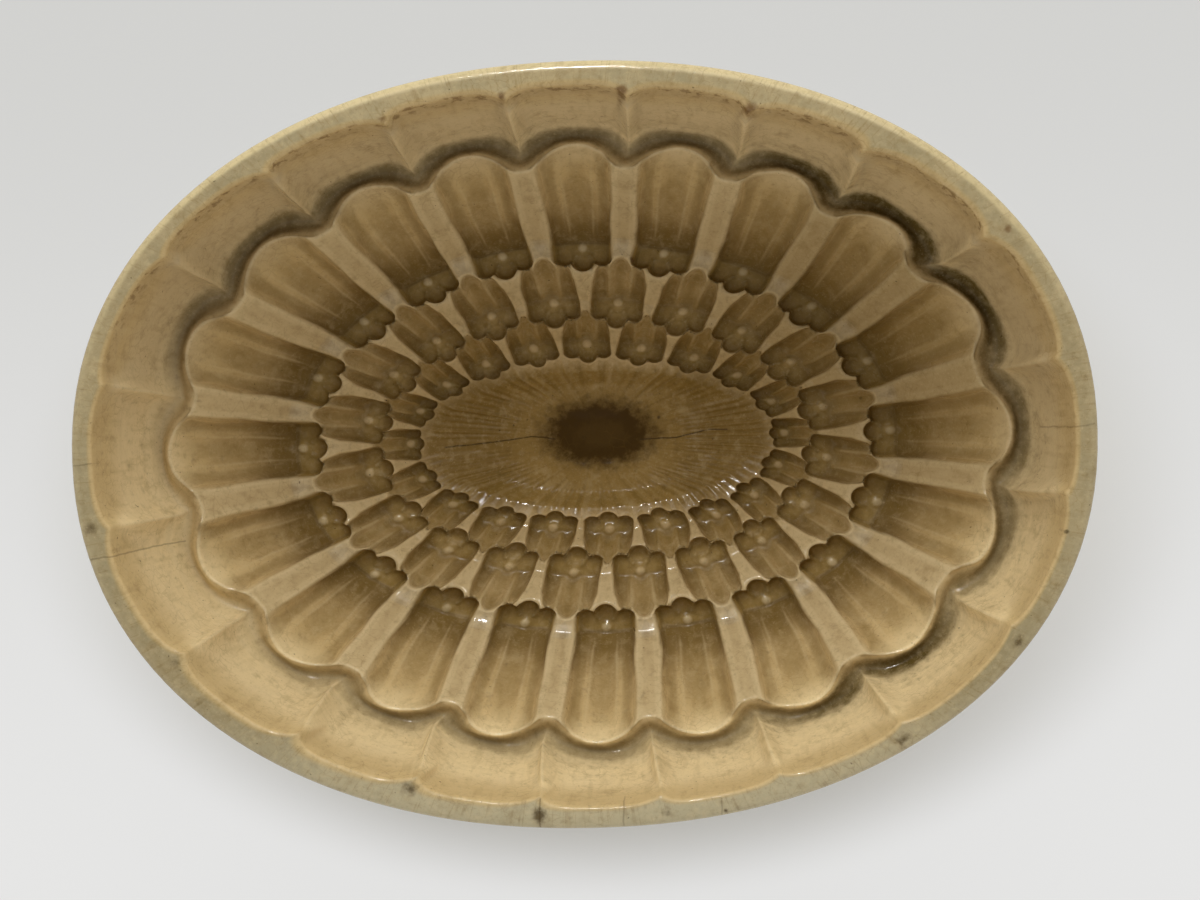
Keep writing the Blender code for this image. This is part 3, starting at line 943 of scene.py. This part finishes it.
# Places and sizes in millimetres. A noise has its scale, detail and roughness, and maybe a stretched place.
glaze = {
    "noises": {
        "broad": (0.06, 2.0, 0.5),
        "fine": (0.45, 4.0, 0.6),
        "grain": (1.6, 3.0, 0.7),
        "mottle": (0.22, 5.0, 0.65),
        "specks": (1.1, 1.0, 0.5),
        "crazed": (0.12, 2.0, 0.5),
        "layers": (0.5, 3.0, 0.6, 0.12, 0.12, 1.0),
        "drips": (0.6, 3.0, 0.5, 1.0, 1.0, 0.12),
    },
    # how far the fine noise frays the edges of a mark
    "frays": {"streak": 0.8, "wallFoot": 0.3, "widePool": 0.4, "flowerFloor": 0.4, "flute": 0.3,
              "channel": 0.7, "y": 30.0, "sides": 500.0},
    # the channel's painted shade, partly pooled glaze: its base, and how much more towards +x, towards +y and
    # towards -y
    "channelShadeBase": 0.20,  # how dark the channel is, and by how much more towards some sides
    "channelShadeSides": (("x", (20.0, 80.0), 0.55), ("y", (8.0, 44.0), 0.56), ("y", (-30.0, -58.0), 0.46)),
    "centre": (0.8, 1.3),
    "centreHalf": (13.5, 8.0),
    "duskPlace": (72.0, 28.0),
    "crazeSize": 2.6,
    "crazeBend": 1.4,
    "hairTurns": 90.0,  # the hairs of the band are the edges of cells this fine round it
    "wiggle": 0.5,
    "gloss": 0.16,
    "roughness": 0.06,
    "roughNoise": 0.06,
    "roughDirt": 0.6,  # added in the corners, where dirt dulls the glaze
    "bumps": {"fine": 0.12, "broad": 0.5, "grain": 0.03, "craze": -0.02},
}


def lineDistance(sheet, flat, start, end):
    # Distance to a line between two points: |p - a - h * (b - a)| with h = (p - a) . (b - a) / |b - a| ** 2
    run = np.array([end[0] - start[0], end[1] - start[1], 0.0])
    fromStart = sheet.vectors("SUBTRACT", flat, (*start, 0.0))
    along = sheet.vectors("DOT_PRODUCT", fromStart, tuple(run / run.dot(run)), output=1)
    along = sheet.node("ShaderNodeClamp", {}, {0: along})
    nearest = sheet.vectors("MULTIPLY", along, tuple(run))
    return sheet.vectors("DISTANCE", fromStart, nearest, output=1)


def paintCoats(sheet, marks, colour, group):
    # Each coat covers the last by its strength times the product of its masks
    for tone, cover, masks in coats[group]:
        for name, places in masks.items():
            mask = getattr(marks, name)
            cover = cover * (sheet.span(mask, places) if places else mask)
        colour = sheet.blend(cover, colour, getattr(marks, tone, tones.get(tone)))
    return colour


def readMarks(sheet, markNames):
    # The place in millimetres and its parts, the noises, and the marks of the mesh with frayed copies
    place = sheet.vectors("MULTIPLY", sheet.node("ShaderNodeTexCoord", {}, {}, 3), (1000.0, 1000.0, 1000.0))
    marks = SimpleNamespace(place=place, **dict(zip("xyz", sheet.parts(place))))
    for name, (scale, detail, roughness, *stretch) in glaze["noises"].items():
        stretched = sheet.vectors("MULTIPLY", place, stretch) if stretch else place
        noise = {"Vector": stretched, "Scale": scale, "Detail": detail, "Roughness": roughness}
        setattr(marks, name, sheet.node("ShaderNodeTexNoise", {}, noise))
    for name in markNames:
        setattr(marks, name, sheet.node("ShaderNodeAttribute", {"attribute_name": name}, {}, 2))
    marks.sides = marks.x * marks.x
    for name, reach in glaze["frays"].items():
        setattr(marks, name + "Frayed", getattr(marks, name) + (marks.fine - 0.5) * reach)
    return marks


def wallMarks(sheet, marks):
    # The depth, by which painted shade darkens the wall deeper in, the webs of the pressed wall, and how much
    # cream shows on its edges and crests, in a copy darkened by painted shade deeper in
    marks.patches = marks.broad + marks.fine * 0.5
    marks.deep = sheet.smooth(marks.inward, 26.0, 60.0)
    marks.web = (1.0 - marks.inCell) * sheet.smooth(marks.inward, 60.0, 54.0)
    # the crests deeper in take a copy of the cream darkened by painted shade
    marks.cream = sheet.blend(marks.deep, tones["edgeCream"], tones["depthShadeCream"])
    marks.edgeShare = 0.6 - 0.45 * marks.inCell
    marks.crestShare = 0.4 - 0.2 * marks.inCell


def channelMarks(sheet, marks):
    # The panels' colour, with a grey strip of painted shade under the band, and the channel's painted shade,
    # partly pooled glaze, which is darker towards +x, towards +y, where the wall shades it, and towards -y
    marks.towardsRib = marks.ribShare + sheet.smooth(marks.z, 72.0, 60.0) * 0.1
    marks.collarColour = paintCoats(sheet, marks, tones["collar"], "collar")
    marks.channelFrayed = marks.channelFrayed + (marks.broad - 0.5) * 0.5
    marks.offBank = 1.0 - 0.7 * marks.bank
    marks.stained = glaze["channelShadeBase"]
    for name, places, share in glaze["channelShadeSides"]:
        marks.stained = marks.stained + sheet.smooth(getattr(marks, name), *places) * share


def bowlMarks(sheet, marks):
    # The burnt stain in the middle: ((x / half) ** 2 + (y / half) ** 2) ** 0.5, frayed by two noises
    fromX = (marks.x - glaze["centre"][0]) / glaze["centreHalf"][0]
    fromY = (marks.y - glaze["centre"][1]) / glaze["centreHalf"][1]
    distance = (fromX * fromX + fromY * fromY) ** 0.5
    distance = distance + (marks.fine - 0.5) * 0.75 + (marks.grain - 0.5) * 0.3
    marks.worn = 0.91 + 0.07 * sheet.smooth(distance, 0.25, 0.6)
    marks.burnt = sheet.smooth(distance, 1.38, 0.68) * sheet.smooth(marks.inward, 50.0, 60.0)
    marks.unburnt = 1.0 - marks.burnt


def bandMarks(sheet, marks):
    # The flat band's own colour, paler towards one corner and darker towards another, and its outer lip, a
    # little paler all round and lit with painted light towards +y, where it faces the lamps
    bright = sheet.smooth(marks.x, 0.0, 40.0) * sheet.smooth(marks.y, 15.0, 45.0)
    dull = sheet.smooth(marks.x, -20.0, -60.0) * sheet.smooth(marks.y, -15.0, -50.0)
    marks.rimPatches = marks.broad + marks.fine * 0.6
    marks.rimDark = sheet.smooth(marks.sides, 900.0, 5500.0) * (0.3 - 0.27 * bright) + 0.2 * dull
    marks.bandColour = paintCoats(sheet, marks, tones["rimGreen"], "band")
    marks.onBand = sheet.smooth(marks.pastBand, 0.1, -0.9)
    # painted light on the lip, strongest towards +y
    marks.lipShare = 0.1 + 0.7 * sheet.smooth(marks.y, 15.0, 60.0)


def ageMarks(sheet, marks):
    # Crazing and hairs from the edges of cells, stains as cones of their strength, cracks from their lines,
    # faint drips, and dusk in one corner
    marks.topFace = sheet.smooth(marks.inward, -2.0, -0.5)
    marks.clear = marks.topFace * marks.unburnt
    shift = sheet.node("ShaderNodeTexNoise", {}, {"Vector": marks.place, "Scale": 0.3, "Detail": 2.0}, 1)
    bent = sheet.vectors("ADD", marks.place, sheet.vectors("MULTIPLY", shift, (glaze["crazeBend"],) * 3))
    marks.craze = sheet.smooth(sheet.edges(bent, 1.0 / glaze["crazeSize"]), 0.045, 0.01)
    marks.craze = marks.craze * sheet.smooth(marks.crazed, 0.42, 0.62)
    level = sheet.vectors("MULTIPLY", marks.place, (1.0, 1.0, 0.0))
    spokes = sheet.vectors("MULTIPLY", sheet.vectors("NORMALIZE", level), (glaze["hairTurns"],) * 3)
    marks.hairs = sheet.smooth(sheet.edges(spokes, 0.4), 0.05, 0.01) * marks.onBand * marks.topFace
    wiggle = (glaze["wiggle"], glaze["wiggle"], 0.0)
    flat = sheet.vectors("ADD", level, sheet.vectors("MULTIPLY", shift, wiggle))
    marks.spots = 0.0
    for place, radius, strength in ageing["stains"]:
        distance = sheet.vectors("DISTANCE", flat, (*place, 0.0), output=1)
        marks.spots = sheet.maths("MAXIMUM", marks.spots, strength * (1.0 - distance / radius))
    marks.spots = marks.spots + (marks.fine - 0.5) * ageing["stainFray"]
    marks.farSide = sheet.smooth(marks.y, *ageing["brownSide"])
    marks.stainTone = sheet.blend(marks.farSide, tones["stainBrown"], tones["fleckBrown"])
    marks.cracks = 0.0
    for strength, points in ageing["cracks"]:
        near = 99.0
        for start, end in zip(points[:-1], points[1:]):
            near = sheet.maths("MINIMUM", near, lineDistance(sheet, flat, start, end))
        crack = strength * sheet.smooth(near, *ageing["crackPlaces"])
        marks.cracks = sheet.maths("MAXIMUM", marks.cracks, crack)
    onWeb = marks.web * sheet.smooth(marks.inward, 15.5, 17.5) * 0.05
    marks.dripDark = 0.15 + onWeb
    marks.dripPale = 0.13 + onWeb
    marks.dusk = sheet.vectors("DISTANCE", flat, (*glaze["duskPlace"], 0.0), output=1)
    marks.duskShare = 0.2 + 0.8 * sheet.smooth(marks.inward, 12.0, 18.0)


def makeGlaze(markNames):
    # Coats of colour from the pressed wall to the marks of age, then the gloss and its small bumps
    material = bpy.data.materials.new("creamGlaze")
    sheet = Sheet(material)
    marks = readMarks(sheet, markNames)
    colour = tones["tan"]
    for group, addMarks in (("wall", wallMarks), ("channel", channelMarks), ("bowl", bowlMarks),
                            ("edge", bandMarks), ("age", ageMarks)):
        addMarks(sheet, marks)
        colour = paintCoats(sheet, marks, colour, group)
    height = sum(getattr(marks, name) * share for name, share in glaze["bumps"].items())
    bump = sheet.node("ShaderNodeBump", {}, {"Strength": 0.5, "Distance": 0.001, "Height": height})
    dirt = sheet.smooth(marks.edgePool, 0.03, 0.25) * glaze["roughDirt"]
    material.node_tree.nodes["Principled BSDF"].inputs["Specular IOR Level"].default_value = glaze["gloss"]
    sheet.link(colour, "Principled BSDF", "Base Color")
    sheet.link(glaze["roughness"] + marks.fine * glaze["roughNoise"] + dirt, "Principled BSDF", "Roughness")
    sheet.link(bump, "Principled BSDF", "Normal")
    print("glaze made:", len(material.node_tree.nodes), "nodes")
    return material


mouldSurface, markNames = buildMould()
mouldSurface.data.materials.append(makeGlaze(markNames))
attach(mouldSurface, "root")
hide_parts("mould_body")


# The camera of the photograph, above the middle of the rim
view = {
    "place": (20.41, 8.11, 288.77),  # from the middle of the rim's top
    "turns": (1.721, -3.088, 1.835),  # of the mould as the camera sees it, about x, y and z in degrees
    "lens": 45.0,
}


def addCamera():
    # The camera's own turn is the inverse of the turn of the mould that it sees
    camera = addObject("camera", bpy.data.cameras.new("camera"))
    camera.data.lens = view["lens"]
    camera.data.sensor_width = 36.0
    camera.data.clip_start = 0.01
    place = (Vector(view["place"]) + Vector((0.0, 0.0, rimTop))) * milli
    turns = Euler([math.radians(turn) for turn in view["turns"]]).to_matrix()
    camera.matrix_world = Matrix.LocRotScale(place, turns.transposed(), None)
    bpy.context.scene.camera = camera


studio = {
    "floorNear": (0.81, 0.81, 0.805),  # the floor's colour at the picture's lower edge
    "floorFar": (0.65, 0.65, 0.635),  # and at its upper edge
    "floorReach": (-0.11, 0.13),  # where the two lie along y
    "floorGlow": 0.85,  # share of its own tone in what the camera sees far from the mould
    "floorHalf": (0.118, 0.077),  # half axes of the oval round the mould where that share begins
    "floorShift": 0.018,  # how far that oval lies towards the near side
    "skyTone": (1.0, 0.99, 0.97),
    "skyLow": 0.95,  # the sky's strength near the horizon, overhead and for the camera
    "skyHigh": 0.30,
    "skySeen": 0.92,
    # name, place, size and power of each lamp, and whether it lights more than the gloss
    "lamps": (("window", (0.0, 1.05, 0.95), (1.5, 0.8), 9.0, True),
              ("glint", (-0.1, 1.08, 1.0), (0.20, 0.09), 14.0, False)),
}


def addFloor():
    mesh = bpy.data.meshes.new("floor")
    reach = 4.0
    corners = [(-reach, -reach, 0.0), (reach, -reach, 0.0), (reach, reach, 0.0), (-reach, reach, 0.0)]
    mesh.from_pydata(corners, [], [(0, 1, 2, 3)])
    floor = addObject("floor", mesh)
    material = bpy.data.materials.new("floorPaper")
    sheet = Sheet(material)
    paint = material.node_tree.nodes["Principled BSDF"]
    paint.inputs["Roughness"].default_value = 0.8
    paint.inputs["Specular IOR Level"].default_value = 0.1
    x, y = sheet.parts(sheet.node("ShaderNodeTexCoord", {}, {}, 3))[:2]
    tone = sheet.blend(sheet.smooth(y, *studio["floorReach"]), studio["floorNear"], studio["floorFar"])
    halfX, halfY = studio["floorHalf"]
    distance = ((x / halfX) ** 2.0 + ((y + studio["floorShift"]) / halfY) ** 2.0) ** 0.5
    cameraRay = sheet.node("ShaderNodeLightPath", {}, {})
    share = cameraRay * sheet.smooth(distance, 1.0, 1.3) * studio["floorGlow"]
    sheet.link(tone, "Principled BSDF", "Base Color")
    glow = sheet.node("ShaderNodeEmission", {}, {"Color": tone})
    mixed = sheet.node("ShaderNodeMixShader", {}, {0: share, 1: Wire(sheet, paint.outputs[0]), 2: glow})
    sheet.link(mixed, "Material Output", "Surface")
    mesh.materials.append(material)


def addSky():
    # Pale all round and darker straight above, where the camera stands in the light's way
    world = bpy.data.worlds.new("studio")
    sheet = Sheet(world)
    bpy.context.scene.world = world
    upwards = sheet.parts(sheet.node("ShaderNodeTexCoord", {}, {}))[2]
    strength = studio["skyLow"] + sheet.smooth(upwards, 0.55, 0.95) * (studio["skyHigh"] - studio["skyLow"])
    cameraRay = sheet.node("ShaderNodeLightPath", {}, {})
    sheet.link(strength + cameraRay * (studio["skySeen"] - strength), "Background", "Strength")
    world.node_tree.nodes["Background"].inputs["Color"].default_value = (*studio["skyTone"], 1.0)


def addLamps():
    # Areas of light that point at the foot of the mould
    for name, place, size, power, lightsAll in studio["lamps"]:
        lamp = bpy.data.lights.new(name, "AREA")
        lamp.shape = "RECTANGLE"
        lamp.size, lamp.size_y = size
        lamp.energy = power
        holder = addObject(name, lamp)
        holder.visible_diffuse = lightsAll
        holder.location = place
        holder.rotation_euler = holder.location.to_track_quat("Z", "Y").to_euler()


bpy.context.scene.view_settings.view_transform = "Standard"
addCamera()
addFloor()
addSky()
addLamps()
print("camera, floor and lights made")
